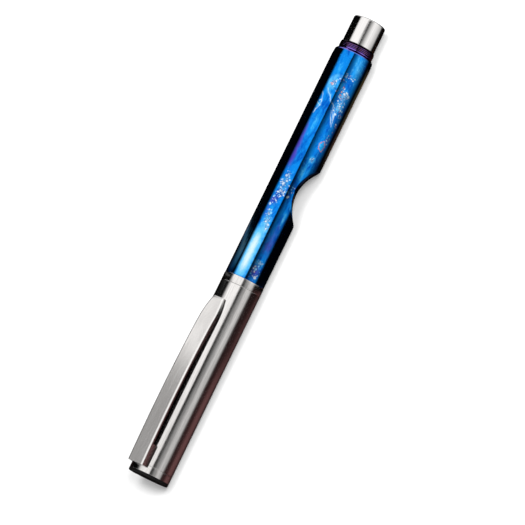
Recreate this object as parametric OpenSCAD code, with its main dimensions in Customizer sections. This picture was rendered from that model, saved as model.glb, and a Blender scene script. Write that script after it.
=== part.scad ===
// Glass dip pen with a screw-on cap, capped and lying along X on the plane z = 0.
// The closed end of the cap points to -X, the tail to +X, and the clip to +Z.
// All sizes are in millimetres.

/* [Overall] */
// Length of the capped pen
total_l = 138; // [135:0.5:142]
// Outside diameter of the cap
cap_d = 11.5; // [11.5:0.1:12]
// Outside diameter of the barrel
barrel_d = 11.4; // [11.2:0.05:11.5]

/* [Barrel] */
// Length of the thread that holds the posted cap
post_thread_l = 2; // [1.6:0.1:3]
// Outside diameter of both cap threads
thread_d = 10; // [9.9:0.05:10]
// Distance between two thread crests
thread_pitch = 0.4; // [0.35:0.05:0.5]
// Diameter of the bare tail
tail_d = 9.3; // [9:0.1:9.4]
// Length of the bare tail
tail_l = 7.7; // [6:0.1:9]
// Length of the finger scoop along the barrel
scoop_l = 16.6; // [14:0.1:18]
// Depth of the finger scoop
scoop_depth = 3.2; // [2.5:0.1:3.4]
// Distance from the front of the barrel to the middle of the scoop
scoop_x = 27.3; // [24:0.1:36]
// Turn of the scoop away from the clip
scoop_turn = 130; // [0:0.5:180]

/* [Cap] */
// Length of the cap with its finial and end disc
cap_l = 59.2; // [59:0.1:61]
// Length of the visible band at the mouth
mouth_band_l = 2.35; // [2:0.05:3]
// Length of the steel flange of the finial
finial_l = 2.1; // [1.8:0.1:2.4]
// Thickness of the black end disc
end_disc_t = 0.9; // [0.8:0.05:1]

/* [Clip] */
// Length of the clip
clip_l = 49.5; // [47:0.5:51]
// Width of the clip
clip_w = 5.3; // [4.5:0.1:6]
// Thickness of the clip bar
clip_t = 1; // [0.8:0.05:1.2]
// Height of the crown of the clip above the cap
clip_rise = 2.6; // [2.2:0.1:2.8]

/* [Nib] */
// Number of flutes on the glass nib
flutes = 8; // [6:1:12]
// Turn of the flutes from the bulb to the point, in degrees
flute_twist = 250; // [90:10:360]
// Largest diameter of the glass nib
nib_d = 5.6; // [5:0.1:6]

/* [Hidden] */
$fn = 96;
eps = 0.01;

// Places along the pen
axis_z = cap_d / 2;
cap_end_x = -total_l / 2;
mouth_x = cap_end_x + cap_l;
tail_x = total_l / 2 - tail_l;
shoulder_x = tail_x - post_thread_l;
finial_seam_x = cap_end_x + end_disc_t + finial_l;
mouth_seam_x = mouth_x - mouth_band_l;
barrel_l = shoulder_x - mouth_x;

// Threads: every thread is a row of closed ridges, low for their pitch
ridge_h = thread_pitch * 0.375;
thread_core_r = thread_d / 2 - ridge_h;

// Barrel
shoulder_chamfer = 0.65;
shoulder_taper = 0.12;
shoulder_taper_l = 2;
barrel_edge = 0.12;
spigot_r = 3.4;
spigot_l = 8;
spigot_gap = 0.05;
stud_r = 2.5;
stud_l = 7;
drill_tip = 1;

// Finger scoop: a wheel with a hollowed rim, on an axis across the pen, grinds it out
scoop_floor_r = barrel_d / 2 - scoop_depth;
scoop_wheel_r = (pow(scoop_l / 2, 2) + pow(scoop_depth, 2)) / (2 * scoop_depth);
scoop_axis_d = scoop_floor_r + scoop_wheel_r;
scoop_rim_share = 0.985;
scoop_rim_power = 4;
scoop_rim_steps = 14;

// Grip section, as distances into the cap from the mouth
o_ring_at = 0.95;
o_ring_wire_r = 0.4;
o_ring_r = 4.5;
front_thread_at = 1.6;
front_thread_turns = 5;
collar_step = 0.4;
grip_from = front_thread_at + front_thread_turns * thread_pitch + 0.6;
grip_to = 26;
grip_back_r = 4.4;
grip_waist_r = 4.05;
grip_waist_at = 20;
grip_lip_r = 4.35;
grip_rings = 8;
grip_ring_pitch = 0.9;
grip_ring_depth = 0.15;
nib_bore_r = 2.8;
nib_bore_to = 11;
ferrule_thread_r = 3.3;
ferrule_thread_l = 3;
ferrule_l = 2.5;
ferrule_back_r = 3.9;
ferrule_front_r = 3.1;

// Glass nib
shank_r = 2.1;
cushion_t = 1.2;
shank_from = nib_bore_to + cushion_t + 0.1;
sleeve_l = 9.5;
bulb_at = grip_to + ferrule_l + 2.6;
flutes_from = bulb_at + 1.1;
nib_tip_at = 47.5;
nib_tip_r = 0.22;
flute_depth = 0.13;
flute_points = 5;
flute_slices = 16;

// Cap
cap_bore_r = 5.15;
band_sleeve_l = 4;
band_sleeve_r = 5.37;
band_bore_r = 5.08;
band_counterbore_r = 5.4;
seam_gap = 0.04;
inner_cap_r = 5.05;
inner_cap_wall = 0.75;
inner_cap_from = grip_to + 0.2;
inner_cap_to = 50.2;
inner_cap_end_t = 1;
tip_cushion_t = 1.4;
finial_plug_l = 2.3;
finial_plug_r = 5.13;
finial_bore_r = 3.6;
disc_stem_r = 2.5;
disc_stem_l = 1.4;
disc_edge_r = 0.75;

// Clip, as distances from the closed end of the cap
clip_from = 2.3;
clip_to = clip_from + clip_l;
clip_crown_at = 22;
clip_drop_front = 0.00128;
clip_drop_back = 0.0011;
clip_foot_to = 8.5;
clip_lift = 0.05;
clip_tip_l = 6;
clip_tip_w = 3.7;
clip_tip_h = 0.3;
clip_slope_l = 8.5;
clip_slope_drop = 0.45;
clip_slope_power = 1.4;
clip_pad_gap = 0.09;
clip_pad_l = 5;
clip_pad_bevel = 0.7;
clip_wedge_l = 17;
clip_wedge_power = 1.5;
boss_at = 7;
boss_size = 2.6;
boss_depth = 0.5;
slot_gap = 0.18;
screw_r = 0.8;
screw_reach = 1.4;
screw_head_r = 1.6;
screw_head_t = 0.8;
screw_head_r_in = 4.45;
side_steps = 24;

steel = [0.72, 0.70, 0.69];
polished = [0.80, 0.79, 0.78];
blue = [0.05, 0.36, 0.80];
soft_black = [0.05, 0.05, 0.055];
rubber_grey = [0.16, 0.16, 0.17];
clear_rubber = [0.80, 0.80, 0.78];
nib_glass = [0.62, 0.80, 0.90];
liner_black = [0.09, 0.09, 0.10];
brass = [0.80, 0.62, 0.30];

// Children stand on their own Z axis, which is laid along the pen from x towards +X or -X
module towards_tail(x) { translate([x, 0, axis_z]) rotate([0, 90, 0]) children(); }
module towards_cap(x) { translate([x, 0, axis_z]) rotate([0, -90, 0]) children(); }

// A profile of [radius, distance] points, turned about the pen's axis
module turned(points) { rotate_extrude() polygon(points); }
module tube(r_out, r_in, l) {
    difference() {
        cylinder(r = r_out, h = l);
        translate([0, 0, -eps]) cylinder(r = r_in, h = l + 2 * eps);
    }
}

// Points of a row of thread ridges between two radii, starting at distance z0
function ridges(z0, n, r_root, r_crest) = [
    for (i = [0 : n - 1]) each [
        [r_root, z0 + i * thread_pitch],
        [r_crest, z0 + (i + 0.35) * thread_pitch],
        [r_crest, z0 + (i + 0.55) * thread_pitch],
        [r_root, z0 + (i + 0.9) * thread_pitch]
    ]
];

// Radius of the wheel that grinds the scoop, across its rim: hollowed, with a flatter middle than a circle
function scoop_rim_hollow(y) = pow(1 - pow(abs(2 * y / barrel_d), scoop_rim_power), 1 / scoop_rim_power);
function scoop_rim_r(y) = scoop_axis_d - scoop_floor_r * scoop_rim_hollow(y);

module scoop_wheel() {
    half = barrel_d / 2 * scoop_rim_share;
    rim = [for (i = [-scoop_rim_steps : scoop_rim_steps]) half * sin(90 * i / scoop_rim_steps)];
    translate([mouth_x + scoop_x, 0, axis_z])
        rotate([scoop_turn, 0, 0])
            translate([0, 0, scoop_axis_d])
                rotate([90, 0, 0])
                    rotate_extrude() polygon(concat(
                        [[0, -barrel_d], [scoop_rim_r(half), -barrel_d]],
                        [for (y = rim) [scoop_rim_r(y), y]],
                        [[scoop_rim_r(half), barrel_d], [0, barrel_d]]));
}

module barrel_blank() {
    r = barrel_d / 2;
    turns = floor(post_thread_l / thread_pitch);
    towards_tail(mouth_x) turned(concat(
        [[0, 0], [r - barrel_edge, 0], [r, barrel_edge],
         [r, barrel_l - shoulder_chamfer - shoulder_taper_l],
         [r - shoulder_taper, barrel_l - shoulder_chamfer],
         [r - shoulder_taper - shoulder_chamfer, barrel_l]],
        ridges(barrel_l, turns, thread_core_r, thread_d / 2),
        [[thread_core_r, barrel_l + post_thread_l], [0, barrel_l + post_thread_l]]));
}

module barrel() {
    color(blue)
        difference() {
            barrel_blank();
            scoop_wheel();
            towards_tail(mouth_x - eps) cylinder(r = spigot_r + spigot_gap, h = spigot_l + drill_tip);
            towards_cap(tail_x + eps) cylinder(r = stud_r + spigot_gap, h = stud_l + drill_tip);
        }
}

module tail_plug() {
    r = tail_d / 2;
    edge = 0.4;
    color(polished)
        towards_tail(tail_x) union() {
            turned(concat(
                [[0, 0], [r, 0], [r, tail_l - edge]],
                [for (a = [15 : 15 : 75]) [r - edge + edge * cos(a), tail_l - edge + edge * sin(a)]],
                [[r - edge, tail_l], [0, tail_l]]));
            translate([0, 0, -stud_l]) cylinder(r = stud_r, h = stud_l + eps);
        }
}

// Outside of the grip between its back and its lip: a waisted curve
function grip_swell(r, share, power) = grip_waist_r + (r - grip_waist_r) * pow(share, power);
function grip_r(z) = z < grip_waist_at
    ? grip_swell(grip_back_r, (grip_waist_at - z) / (grip_waist_at - grip_from), 1.6)
    : grip_swell(grip_lip_r, (z - grip_waist_at) / (grip_to - 1 - grip_waist_at), 2);

module grip_section() {
    groove_r = o_ring_r - o_ring_wire_r;
    groove = o_ring_wire_r + 0.05;
    collar_r = thread_core_r - collar_step;
    back_step = (grip_waist_at - grip_from) / 10;
    front_step = (grip_to - 1 - grip_waist_at) / 6;
    color(steel)
        difference() {
            towards_cap(mouth_x) union() {
                turned(concat(
                    [[0, 0], [collar_r, 0], [collar_r, o_ring_at - groove], [groove_r, o_ring_at - groove],
                     [groove_r, o_ring_at + groove], [collar_r, o_ring_at + groove]],
                    ridges(front_thread_at, front_thread_turns, thread_core_r, thread_d / 2),
                    [[collar_r, grip_from - 0.4], [collar_r, grip_from - 0.1]],
                    [for (z = [grip_from : back_step : grip_waist_at - back_step / 2]) [grip_r(z), z]],
                    [for (z = [grip_waist_at : front_step : grip_to - 1 + eps]) [grip_r(z), z]],
                    [[grip_lip_r - 0.1, grip_to - 0.35], [grip_lip_r - 0.5, grip_to], [0, grip_to]]));
                translate([0, 0, -spigot_l]) cylinder(r = spigot_r, h = spigot_l + eps);
            }
            towards_cap(mouth_x - nib_bore_to) cylinder(r = nib_bore_r, h = grip_to);
            towards_cap(mouth_x - grip_to + ferrule_thread_l) cylinder(r = ferrule_thread_r, h = grip_to);
            for (i = [0 : grip_rings - 1])
                towards_cap(mouth_x - grip_waist_at + (grip_rings / 2 - i) * grip_ring_pitch)
                    tube(grip_back_r + 1, grip_r(grip_waist_at) - grip_ring_depth, 0.3);
        }
}

module section_o_ring() {
    color(rubber_grey)
        towards_cap(mouth_x - o_ring_at)
            rotate_extrude() translate([o_ring_r, 0]) circle(r = o_ring_wire_r, $fn = 24);
}

module nib_ferrule() {
    color(brass)
        towards_cap(mouth_x - grip_to) difference() {
            union() {
                translate([0, 0, -ferrule_thread_l + eps])
                    cylinder(r = ferrule_thread_r - 0.02, h = ferrule_thread_l);
                turned([[0, 0], [ferrule_back_r, 0], [ferrule_back_r, 0.7],
                        [ferrule_front_r, ferrule_l], [0, ferrule_l]]);
            }
            translate([0, 0, -ferrule_thread_l - 1])
                cylinder(r = shank_r + 0.05, h = ferrule_thread_l + ferrule_l + 2);
        }
}

module nib_sleeve() {
    color(clear_rubber)
        towards_cap(mouth_x - shank_from) tube(nib_bore_r - 0.01, shank_r + 0.01, sleeve_l);
}

module nib_cushion() {
    color(rubber_grey)
        towards_cap(mouth_x - nib_bore_to - eps) cylinder(r = nib_bore_r - 0.05, h = cushion_t);
}

module glass_nib() {
    n = flutes * flute_points;
    r = nib_d / 2;
    cone_l = nib_tip_at - nib_tip_r - flutes_from;
    color(nib_glass)
        towards_cap(mouth_x) union() {
            translate([0, 0, shank_from]) cylinder(r = shank_r, h = bulb_at - shank_from);
            translate([0, 0, bulb_at]) intersection() {
                sphere(r = r);
                translate([0, 0, -r]) cylinder(r = r, h = r + flutes_from - bulb_at);
            }
            translate([0, 0, flutes_from - 0.3])
                linear_extrude(height = cone_l + 0.3, twist = flute_twist, scale = nib_tip_r / r,
                               slices = flute_slices)
                    polygon([for (i = [0 : n - 1])
                        let (a = 360 * i / n, q = r * (0.95 - flute_depth / 2 * (1 - cos(a * flutes))))
                            [q * cos(a), q * sin(a)]]);
            translate([0, 0, nib_tip_at - nib_tip_r]) sphere(r = nib_tip_r, $fn = 24);
        }
}

module inner_cap() {
    l = inner_cap_to - inner_cap_from;
    color(liner_black)
        towards_cap(mouth_x - inner_cap_from) difference() {
            cylinder(r = inner_cap_r, h = l);
            translate([0, 0, -eps]) cylinder(r = inner_cap_r - inner_cap_wall, h = l - inner_cap_end_t + eps);
        }
}

module tip_cushion() {
    color(clear_rubber)
        towards_tail(mouth_x - inner_cap_to + inner_cap_end_t)
            cylinder(r = inner_cap_r - inner_cap_wall - 0.05, h = tip_cushion_t);
}

// The band at the mouth carries the cap's thread on a sleeve inside the tube
module cap_mouth_ring() {
    r = cap_d / 2;
    turns = 8;
    color(steel)
        towards_cap(mouth_x) difference() {
            turned([[0, 0], [r - 0.1, 0], [r, 0.1], [r, mouth_band_l - seam_gap],
                    [band_sleeve_r, mouth_band_l - seam_gap],
                    [band_sleeve_r, mouth_band_l + band_sleeve_l], [0, mouth_band_l + band_sleeve_l]]);
            translate([0, 0, -eps]) turned(concat(
                [[0, -1], [band_bore_r, -1]],
                ridges(front_thread_at, turns, band_bore_r, band_bore_r + 0.18),
                [[band_bore_r, mouth_band_l + band_sleeve_l + 1], [0, mouth_band_l + band_sleeve_l + 1]]));
        }
}

module cap_tube() {
    l = mouth_seam_x - finial_seam_x;
    color(steel)
        difference() {
            towards_tail(finial_seam_x) difference() {
                cylinder(r = cap_d / 2, h = l);
                translate([0, 0, -eps]) cylinder(r = cap_bore_r, h = l + 2 * eps);
                translate([0, 0, l - band_sleeve_l - 0.1])
                    cylinder(r = band_counterbore_r, h = band_sleeve_l + 1);
            }
            clip_boss(slot_gap);
        }
}

module finial_plug() {
    color(steel)
        difference() {
            towards_tail(cap_end_x + end_disc_t) union() {
                cylinder(r = cap_d / 2, h = finial_l - seam_gap);
                cylinder(r = finial_plug_r, h = finial_l + finial_plug_l);
            }
            towards_tail(cap_end_x + end_disc_t - eps)
                cylinder(r = disc_stem_r + 0.01, h = disc_stem_l + 0.1);
            towards_tail(finial_seam_x) cylinder(r = finial_bore_r, h = finial_plug_l + 1);
        }
}

module end_disc() {
    r = cap_d / 2;
    edge = disc_edge_r;
    color(soft_black)
        towards_tail(cap_end_x) union() {
            turned(concat(
                [[0, 0], [r - edge, 0]],
                [for (a = [15 : 15 : 75]) [r - edge + edge * sin(a), edge - edge * cos(a)]],
                [[r, edge], [r, end_disc_t], [0, end_disc_t]]));
            cylinder(r = disc_stem_r, h = end_disc_t + disc_stem_l);
        }
}

// The boss under the clip's foot, which stands in a slot through the tube's wall; grown by gap
module clip_boss(gap) {
    side = boss_size + 2 * gap;
    translate([cap_end_x + boss_at - side / 2, -side / 2, axis_z + cap_d / 2 - boss_depth - gap])
        cube([side, side, boss_depth + 1]);
}

// Height of the clip's top above the cap, at a distance a from the closed end of the cap:
// a low arch, steeper at the nose
function clip_drop(a) = a > clip_crown_at ? clip_drop_front : clip_drop_back;
function clip_nose(a) = pow(max(0, 1 - (clip_to - a) / clip_slope_l), clip_slope_power);
function clip_top(a) =
    clip_rise - clip_drop(a) * pow(a - clip_crown_at, 2) - clip_slope_drop * clip_nose(a);

// Height of its underside: a flat pad at the nose, then a wedge that closes to the bar's thickness
function clip_wedge(a) = min(1, max(0, (clip_to - a - clip_pad_l) / clip_wedge_l));
function clip_under(a) =
    clip_pad_gap + (clip_top(a) - clip_t - clip_pad_gap) * pow(sin(90 * clip_wedge(a)), clip_wedge_power);

module clip_side() {
    pad_from = clip_to - clip_pad_l;
    step = (clip_to - clip_from) / side_steps;
    under_step = (pad_from - clip_foot_to) / side_steps;
    polygon(concat(
        [for (i = [0 : side_steps - 1]) let (a = clip_from + i * step) [a, clip_top(a)]],
        [[clip_to - 0.5, clip_top(clip_to - 0.5)], [clip_to, clip_top(clip_to) - 0.12],
         [clip_to, clip_tip_h], [clip_to - clip_pad_bevel, clip_pad_gap]],
        [for (i = [0 : side_steps]) let (a = pad_from - i * under_step) [a, clip_under(a)]],
        [[clip_foot_to - 0.25, -cap_d / 2], [clip_from, -cap_d / 2]]));
}

module clip_plan() {
    w = clip_w / 2;
    tip = clip_tip_w / 2;
    from = clip_to - clip_tip_l;
    bow = [for (a = [13.5 : 13.5 : 81]) [from + clip_tip_l * sin(a), tip + (w - tip) * cos(a)]];
    polygon(concat(
        [[clip_from, -w], [from, -w]], [for (p = bow) [p[0], -p[1]]], [[clip_to, -tip], [clip_to, tip]],
        [for (i = [len(bow) - 1 : -1 : 0]) bow[i]], [[from, w], [clip_from, w]]));
}

// A hole down through the clip's foot and boss, or the shank of the screw in it
module clip_screw_shank(r) {
    translate([cap_end_x + boss_at, 0, axis_z + screw_head_r_in])
        cylinder(r = r, h = cap_d / 2 - screw_head_r_in + screw_reach);
}

module clip() {
    color(polished)
        difference() {
            union() {
                difference() {
                    intersection() {
                        translate([cap_end_x, 0, axis_z + cap_d / 2])
                            rotate([90, 0, 0])
                                translate([0, 0, -clip_w]) linear_extrude(height = 2 * clip_w) clip_side();
                        translate([cap_end_x, 0, axis_z]) linear_extrude(height = cap_d) clip_plan();
                    }
                    towards_tail(cap_end_x - 1) cylinder(r = cap_d / 2 + clip_lift, h = clip_to + 2);
                }
                clip_boss(0);
            }
            clip_screw_shank(screw_r);
        }
}

module clip_screw() {
    color(steel)
        union() {
            clip_screw_shank(screw_r - 0.01);
            translate([cap_end_x + boss_at, 0, axis_z + screw_head_r_in - screw_head_t])
                cylinder(r = screw_head_r, h = screw_head_t);
        }
}

barrel();
tail_plug();
grip_section();
section_o_ring();
nib_ferrule();
nib_sleeve();
nib_cushion();
glass_nib();
inner_cap();
tip_cushion();
cap_mouth_ring();
cap_tube();
finial_plug();
end_disc();
clip();
clip_screw();
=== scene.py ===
"""The looks of the capped dip pen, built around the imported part.

Shapes are worked out in millimetres and turned into metres when a mesh is made.
An angle round the pen is counted in degrees from the top, where the clip is, towards -Y.
"""
import math

import bmesh
import bpy
import numpy as np
from mathutils import Matrix, Vector


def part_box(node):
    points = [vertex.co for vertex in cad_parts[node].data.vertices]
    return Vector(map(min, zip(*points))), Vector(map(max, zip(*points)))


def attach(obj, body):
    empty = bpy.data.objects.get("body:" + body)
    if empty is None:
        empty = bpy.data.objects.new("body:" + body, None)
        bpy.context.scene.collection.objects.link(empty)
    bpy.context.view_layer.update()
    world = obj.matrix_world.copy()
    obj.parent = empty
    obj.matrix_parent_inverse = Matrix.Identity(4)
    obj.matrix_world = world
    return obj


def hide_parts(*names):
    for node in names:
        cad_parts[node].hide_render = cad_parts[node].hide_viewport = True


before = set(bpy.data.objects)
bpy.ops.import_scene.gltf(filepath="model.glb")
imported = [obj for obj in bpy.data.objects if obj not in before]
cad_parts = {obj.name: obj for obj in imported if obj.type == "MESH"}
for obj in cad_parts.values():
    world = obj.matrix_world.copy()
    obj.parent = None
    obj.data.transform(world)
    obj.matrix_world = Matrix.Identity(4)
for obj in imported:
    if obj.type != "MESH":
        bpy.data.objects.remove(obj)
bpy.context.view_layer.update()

MM = 0.001
X, Y, Z = 0, 1, 2


def span(node, axis):
    """Lowest and highest place of a CAD node along one axis, in millimetres."""
    low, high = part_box(node)
    return low[axis] / MM, high[axis] / MM


def width(node):
    """Size of a CAD node across the pen, in millimetres."""
    low, high = span(node, Y)
    return high - low


# Places along the pen and radii, all from the frame
CAP_END_X, _ = span("end_disc", X)
FINIAL_FROM_X, _ = span("finial_plug", X)
FINIAL_SEAM_X, BAND_SEAM_X = span("cap_tube", X)
SLEEVE_END_X, MOUTH_X = span("cap_mouth_ring", X)
BARREL_BACK_X = span("barrel", X)[1]
STUD_X, TAIL_END_X = span("tail_plug", X)
GRIP_END_X, SPIGOT_END_X = span("grip_section", X)
LINER_END_X, LINER_OPEN_X = span("inner_cap", X)
CLIP_FROM_X, CLIP_TO_X = span("clip", X)
NIB_TIP_X, NIB_BACK_X = span("glass_nib", X)
CAP_R = width("cap_tube") / 2
BARREL_R = width("barrel") / 2
TAIL_R = width("tail_plug") / 2
LINER_R = width("inner_cap") / 2
NIB_R = width("glass_nib") / 2
CLIP_HALF_W = width("clip") / 2
THREAD_R = width("grip_section") / 2
AXIS_Z = CAP_R

# Threads
PITCH = 0.4
RIDGE_H = 0.14
POST_THREAD_L = 2.0
SHOULDER_X = BARREL_BACK_X - POST_THREAD_L

# Resolution of the turned pieces
SEGMENTS = 240
FINE_STEP = 0.16
THREAD_STEP = 0.035

# How far below a radius a point still counts as lying on it
NEAR = 0.02


# ---------------------------------------------------------------- mesh helpers

def smooth(value, start, end):
    """0 before start, 1 after end, and a smooth rise between them; start may be the higher."""
    t = np.clip((np.asarray(value, float) - start) / (end - start), 0, 1)
    return t * t * (3 - 2 * t)


def rounded(points, default=0.05, steps=4):
    """An outline of (x, r) or (x, r, corner radius) points, with its inner corners rounded."""
    flat = [np.array(p[:2], float) for p in points]
    out = [flat[0]]
    for before, at, after, point in zip(flat, flat[1:], flat[2:], points[1:]):
        radius = point[2] if len(point) > 2 else default
        to_before, to_after = before - at, after - at
        room = 0.45 * min(np.hypot(*to_before), np.hypot(*to_after))
        reach = min(radius, room)
        if reach < 1e-4:
            out.append(at)
            continue
        start = at + to_before / np.hypot(*to_before) * reach
        end = at + to_after / np.hypot(*to_after) * reach
        for t in np.linspace(0, 1, steps + 1):
            out.append((1 - t) ** 2 * start + 2 * t * (1 - t) * at + t ** 2 * end)
    out.append(flat[-1])
    return [tuple(p) for p in out]


def straight(x_from, x_to, r, step=FINE_STEP):
    """Points of a straight stretch at radius r, closely spaced so that its surface can be reshaped."""
    count = max(2, int(abs(x_to - x_from) / step) + 1)
    return [(x, r) for x in np.linspace(x_from, x_to, count)]


def turned(outline, segments=SEGMENTS, closed=False, reshape=None):
    """Vertices and faces of an outline turned about the pen's axis. reshape may move points that are
    given as arrays x, y, z with the axis at y = z = 0."""
    x, r = np.array(outline, float).T
    angle = np.arange(segments) * 2 * np.pi / segments
    shape = (len(x), segments)
    px = np.broadcast_to(x[:, None], shape).copy()
    py = -r[:, None] * np.sin(angle)
    pz = r[:, None] * np.cos(angle)
    if reshape:
        px, py, pz = reshape(px, py, pz)
    rows = np.arange(len(x) if closed else len(x) - 1)
    a = rows[:, None] * segments + np.arange(segments)
    b = rows[:, None] * segments + (np.arange(segments) + 1) % segments
    down = ((rows + 1) % len(x))[:, None] * segments
    c = down + (np.arange(segments) + 1) % segments
    d = down + np.arange(segments)
    faces = np.stack([a, b, c, d], axis=-1).reshape(-1, 4)
    points = np.stack([px, py, pz + AXIS_Z], axis=-1).reshape(-1, 3)
    return points, faces


def ring_faces(rows, ring):
    """Four-cornered faces between rows of points that each go once round."""
    return [(i * ring + j, i * ring + (j + 1) % ring, (i + 1) * ring + (j + 1) % ring, (i + 1) * ring + j)
            for i in range(rows - 1) for j in range(ring)]


def mesh_object(name, points, faces):
    """A mesh object from points in millimetres. Points that fall together are joined."""
    mesh = bpy.data.meshes.new(name)
    mesh.from_pydata((np.asarray(points) * MM).tolist(), [], [list(map(int, f)) for f in faces])
    work = bmesh.new()
    work.from_mesh(mesh)
    bmesh.ops.remove_doubles(work, verts=work.verts, dist=1e-7)
    bmesh.ops.recalc_face_normals(work, faces=work.faces)
    work.to_mesh(mesh)
    work.free()
    obj = bpy.data.objects.new(name, mesh)
    bpy.context.scene.collection.objects.link(obj)
    return obj


def piece(name, points, faces, node, body, slot, material, sharp=35):
    """A finished piece: it rides on a body, stands for a CAD node and has its material."""
    obj = mesh_object(name, points, faces)
    obj.data.shade_smooth()
    obj.data.set_sharp_from_angle(angle=math.radians(sharp))
    normals = obj.modifiers.new("even normals", "WEIGHTED_NORMAL")
    normals.keep_sharp = True
    obj.data.materials.append(material)
    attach(obj, body)
    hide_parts(node)
    return obj


def coordinates(obj):
    """x in millimetres and angle in degrees of each vertex of a piece."""
    co = np.empty(len(obj.data.vertices) * 3)
    obj.data.vertices.foreach_get("co", co)
    co = co.reshape(-1, 3) / MM
    return co[:, X], np.degrees(np.arctan2(-co[:, Y], co[:, Z] - AXIS_Z)), co


def write_attribute(obj, name, values):
    attribute = obj.data.attributes.new(name, "FLOAT", "POINT")
    attribute.data.foreach_set("value", np.asarray(values, np.float32))


def write_colours(obj, name, red, green, blue):
    attribute = obj.data.attributes.new(name, "FLOAT_COLOR", "POINT")
    colours = np.stack([red, green, blue, np.ones_like(red)], axis=-1)
    attribute.data.foreach_set("color", colours.astype(np.float32).ravel())


def helix(px, py, pz, x_from, x_to, height):
    """Height of a thread ridge at each point between two places along the pen."""
    turn = np.arctan2(-py, pz) / (2 * np.pi)
    phase = (px / PITCH - turn) % 1
    ridge = smooth(phase, 0.0, 0.35) * smooth(phase, 0.95, 0.6)
    fade = smooth(px, x_from, x_from + PITCH) * smooth(px, x_to, x_to - PITCH)
    return height * ridge * fade


def push_out(px, py, pz, amount):
    """Points moved away from the axis by amount."""
    r = np.hypot(py, pz)
    grown = (r + amount) / np.maximum(r, 1e-9)
    return px, py * grown, pz * grown


# ---------------------------------------------------------------- materials

class Graph:
    """A node material, with short ways to add the nodes used here."""

    def __init__(self, name):
        self.material = bpy.data.materials.new(name)
        self.material.use_nodes = True
        self.tree = self.material.node_tree
        self.shader = self.tree.nodes["Principled BSDF"]
        place = self.node("TexCoord").outputs["Object"]
        self.place = self.scaled(place, 1 / MM, 1 / MM, 1 / MM)

    def feed(self, socket, value):
        if isinstance(value, bpy.types.NodeSocket):
            self.tree.links.new(value, socket)
        elif socket.type == "RGBA" and len(value) == 3:
            socket.default_value = (*value, 1)
        else:
            socket.default_value = value

    def node(self, kind, inputs=(), **settings):
        made = self.tree.nodes.new("ShaderNode" + kind)
        for key, value in settings.items():
            setattr(made, key, value)
        for key, value in dict(inputs).items():
            self.feed(made.inputs[key], value)
        return made

    def scaled(self, vector, x, y, z):
        return self.node("Mapping", {"Vector": vector, "Scale": (x, y, z)}).outputs[0]

    def along(self, stretch):
        """Millimetre coordinates, squeezed along the pen so that a texture is drawn out along it."""
        return self.scaled(self.place, stretch, 1, 1)

    def turned(self, degrees, along, across):
        """Millimetre coordinates for lines at a slant to the pen."""
        slant = self.node("VectorRotate", {"Vector": self.place, "Angle": math.radians(degrees)},
                          rotation_type="Z_AXIS").outputs[0]
        return self.scaled(slant, along, across, across)

    def noise(self, vector, scale, detail=3.0, roughness=0.55, distortion=0.0):
        return self.node("TexNoise", {"Vector": vector, "Scale": scale, "Detail": detail,
                                      "Roughness": roughness, "Distortion": distortion}).outputs[0]

    def math(self, operation, a, b=0.0):
        return self.node("Math", {0: a, 1: b}, operation=operation).outputs[0]

    def rise(self, value, start, end, low=0.0, high=1.0):
        """low before start, high after end, and a smooth rise between them."""
        return self.node("MapRange", {"Value": value, "From Min": start, "From Max": end, "To Min": low,
                                      "To Max": high}, interpolation_type="SMOOTHSTEP").outputs[0]

    def mix(self, share, a, b):
        made = self.node("Mix", data_type="RGBA")
        for index, value in ((0, share), (6, a), (7, b)):
            self.feed(made.inputs[index], value)
        return made.outputs[2]

    def attribute(self, name):
        return self.node("Attribute", attribute_name=name)

    def channels(self, colour):
        return self.node("SeparateColor", {0: colour}).outputs

    def bump(self, height, distance_mm, strength=1.0):
        made = self.node("Bump", {"Height": height, "Distance": distance_mm * MM, "Strength": strength})
        self.feed(self.shader.inputs["Normal"], made.outputs[0])

    def surface(self, **values):
        for key, value in values.items():
            self.feed(self.shader.inputs[key.replace("_", " ")], value)
        return self.material


def brushed(name, colour, darker, roughness, streak_scale, depth, grain=0.03):
    """Steel with fine scratches along the pen."""
    g = Graph(name)
    streaks = g.noise(g.along(grain), streak_scale, 4.0, 0.7)
    patches = g.noise(g.along(0.3), 0.25, 2.0)
    fine = g.noise(g.along(grain * 2), streak_scale * 3, 2.0)
    both = g.math("ADD", g.math("MULTIPLY", streaks, 0.75), g.math("MULTIPLY", fine, 0.25))
    tone = g.rise(both, 0.34, 0.66)
    g.bump(g.math("ADD", streaks, fine), depth)
    return g.surface(Base_Color=g.mix(tone, darker, colour), Metallic=1.0,
                     Roughness=g.math("ADD", g.rise(patches, 0.3, 0.7, roughness * 0.85, roughness * 1.15),
                                      g.rise(streaks, 0.35, 0.65, 0.0, roughness * 0.25)))


def speckled(name, colour, other, roughness, scale, depth, **extra):
    """A moulded or rubber surface: two near tones, with a fine bump."""
    g = Graph(name)
    cloud = g.noise(g.place, scale, 3.0)
    fine = g.noise(g.place, scale * 8, 2.0)
    g.bump(fine, depth)
    return g.surface(Base_Color=g.mix(g.rise(cloud, 0.35, 0.65), colour, other),
                     Roughness=g.rise(fine, 0.3, 0.7, roughness * 0.85, roughness * 1.15), **extra)


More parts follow.
